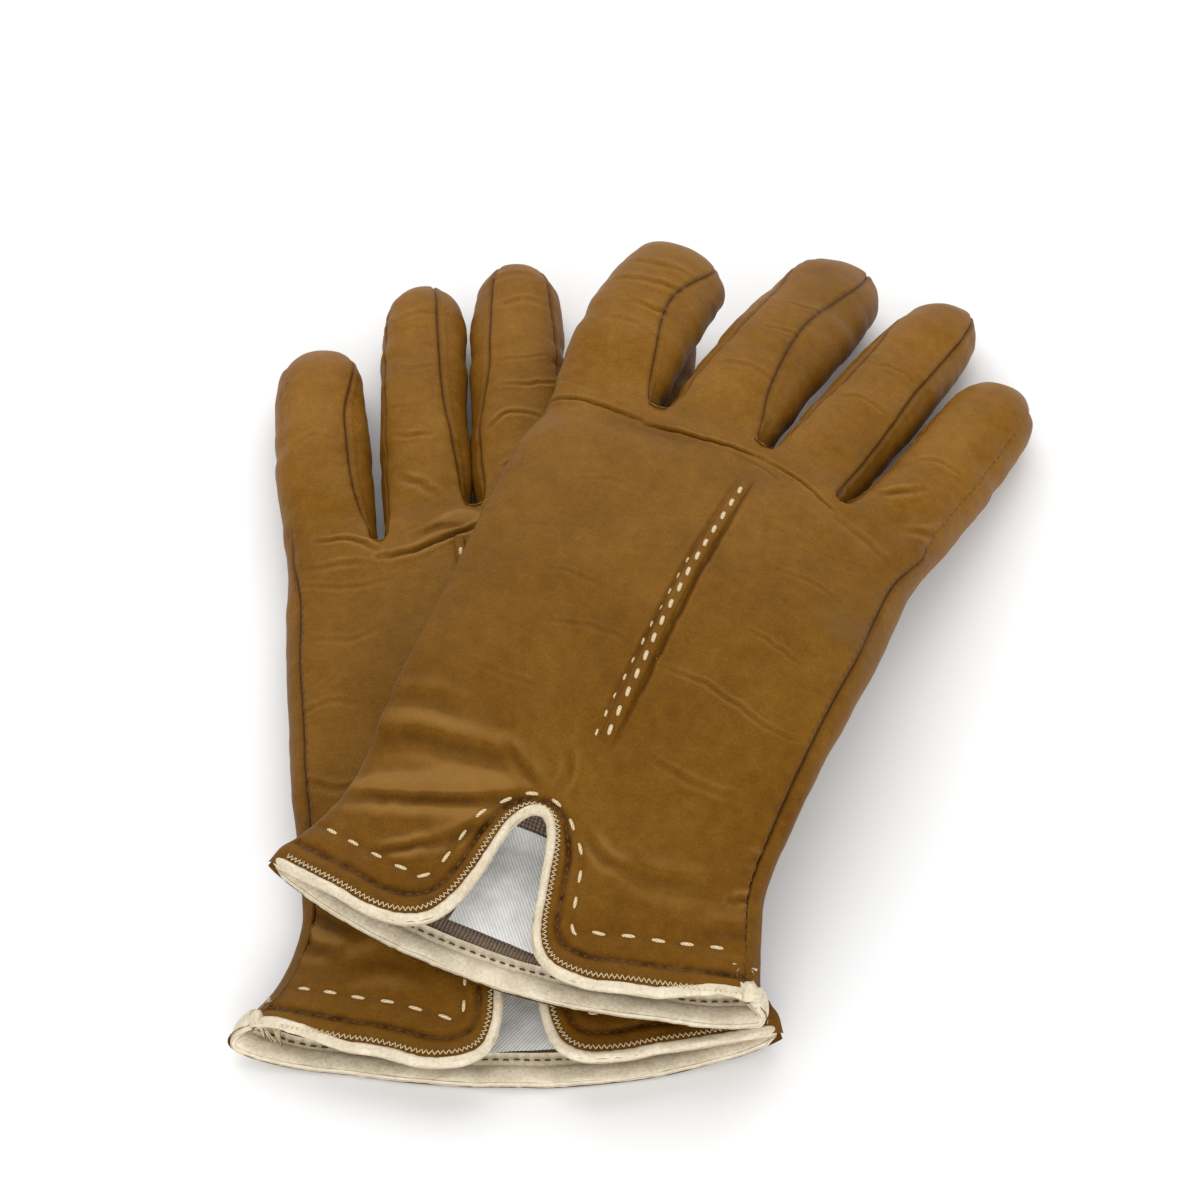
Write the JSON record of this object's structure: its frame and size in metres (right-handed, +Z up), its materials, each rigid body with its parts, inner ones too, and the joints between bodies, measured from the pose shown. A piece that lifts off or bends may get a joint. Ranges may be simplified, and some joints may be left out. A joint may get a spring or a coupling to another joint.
{
  "type": "leather driving gloves",
  "caption": "Crossed pair of short lined leather gloves with a stitched point on the back, a vented bound cuff and bending fingers.",
  "frame": {"origin": "middle of the pair's bounding box at the level of the surface it lies on", "axes": "+Z up from that surface; +Y along the lower glove towards its fingertips, away from the viewer; +X to the viewer's right, towards the upper glove's little finger"},
  "size_m": [0.176, 0.2216, 0.0444],
  "materials": {
    "tan_leather": "soft satin, lightly worn",
    "cream_leather": "slightly glossy",
    "knit_lining": "fine knit",
    "label_satin": "ribbed satin",
    "thread": "waxed thread"
  },
  "bodies": {
    "left_hand": {"left_back_panel": "tan_leather", "left_palm_panel": "tan_leather", "left_cuff_binding": "cream_leather", "left_cuff_facing": "cream_leather", "left_hand_lining": "knit_lining", "left_size_label": "label_satin", "left_cuff_stitches": "thread", "left_point_welt": "tan_leather", "left_point_stitches": "thread"},
    "left_thumb": {"left_thumb_leather": "tan_leather", "left_thumb_lining": "knit_lining"},
    "left_index": {"left_index_back": "tan_leather", "left_index_front": "tan_leather", "left_index_sides": "tan_leather", "left_index_lining": "knit_lining"},
    "left_middle": {"left_middle_back": "tan_leather", "left_middle_front": "tan_leather", "left_middle_sides": "tan_leather", "left_middle_lining": "knit_lining"},
    "left_ring": {"left_ring_back": "tan_leather", "left_ring_front": "tan_leather", "left_ring_sides": "tan_leather", "left_ring_lining": "knit_lining"},
    "left_little": {"left_little_back": "tan_leather", "left_little_front": "tan_leather", "left_little_sides": "tan_leather", "left_little_lining": "knit_lining"},
    "right_hand": {"right_back_panel": "tan_leather", "right_palm_panel": "tan_leather", "right_cuff_binding": "cream_leather", "right_cuff_facing": "cream_leather", "right_hand_lining": "knit_lining", "right_size_label": "label_satin", "right_cuff_stitches": "thread", "right_point_welt": "tan_leather", "right_point_stitches": "thread"},
    "right_thumb": {"right_thumb_leather": "tan_leather", "right_thumb_lining": "knit_lining"},
    "right_index": {"right_index_back": "tan_leather", "right_index_front": "tan_leather", "right_index_sides": "tan_leather", "right_index_lining": "knit_lining"},
    "right_middle": {"right_middle_back": "tan_leather", "right_middle_front": "tan_leather", "right_middle_sides": "tan_leather", "right_middle_lining": "knit_lining"},
    "right_ring": {"right_ring_back": "tan_leather", "right_ring_front": "tan_leather", "right_ring_sides": "tan_leather", "right_ring_lining": "knit_lining"},
    "right_little": {"right_little_back": "tan_leather", "right_little_front": "tan_leather", "right_little_sides": "tan_leather", "right_little_lining": "knit_lining"}
  },
  "joints": [
    {"name": "right_hand_lift", "type": "slide", "parent": "left_hand", "child": "right_hand", "axis": [0, 0, 1], "range_m": [0, 0.08]},
    {"name": "left_index_bend", "type": "hinge", "parent": "left_hand", "child": "left_index", "pos_m": [-0.0058, 0.03073, 0.0095], "axis": [-0.9945, 0.1045, 0], "range_deg": [0, 45]},
    {"name": "left_middle_bend", "type": "hinge", "parent": "left_hand", "child": "left_middle", "pos_m": [-0.03078, 0.03055, 0.0095], "axis": [-0.9998, -0.0175, 0], "range_deg": [0, 45]},
    {"name": "left_ring_bend", "type": "hinge", "parent": "left_hand", "child": "left_ring", "pos_m": [-0.05321, 0.02658, 0.0095], "axis": [-1, -0.0087, 0], "range_deg": [0, 45]},
    {"name": "left_little_bend", "type": "hinge", "parent": "left_hand", "child": "left_little", "pos_m": [-0.07285, 0.01583, 0.0095], "axis": [-0.9954, -0.0958, 0], "range_deg": [0, 45]},
    {"name": "left_thumb_swing", "type": "hinge", "parent": "left_hand", "child": "left_thumb", "pos_m": [-0.00605, -0.04558, 0.0045], "axis": [0, 0, -1], "range_deg": [0, 25]},
    {"name": "right_index_bend", "type": "hinge", "parent": "right_hand", "child": "right_index", "pos_m": [-0.01175, 0.04154, 0.0319], "axis": [-0.9397, 0.342, 0], "range_deg": [-35, 0]},
    {"name": "right_middle_bend", "type": "hinge", "parent": "right_hand", "child": "right_middle", "pos_m": [0.01195, 0.03365, 0.02988], "axis": [-0.891, 0.454, 0], "range_deg": [-35, 0]},
    {"name": "right_ring_bend", "type": "hinge", "parent": "right_hand", "child": "right_ring", "pos_m": [0.03206, 0.02294, 0.02589], "axis": [-0.8746, 0.4848, 0], "range_deg": [-35, 0]},
    {"name": "right_little_bend", "type": "hinge", "parent": "right_hand", "child": "right_little", "pos_m": [0.04742, 0.00665, 0.02297], "axis": [-0.848, 0.5299, 0], "range_deg": [-35, 0]},
    {"name": "right_thumb_swing", "type": "hinge", "parent": "right_hand", "child": "right_thumb", "pos_m": [-0.0351, -0.03111, 0.02563], "axis": [0, 0, 1], "range_deg": [0, 25]}
  ]
}
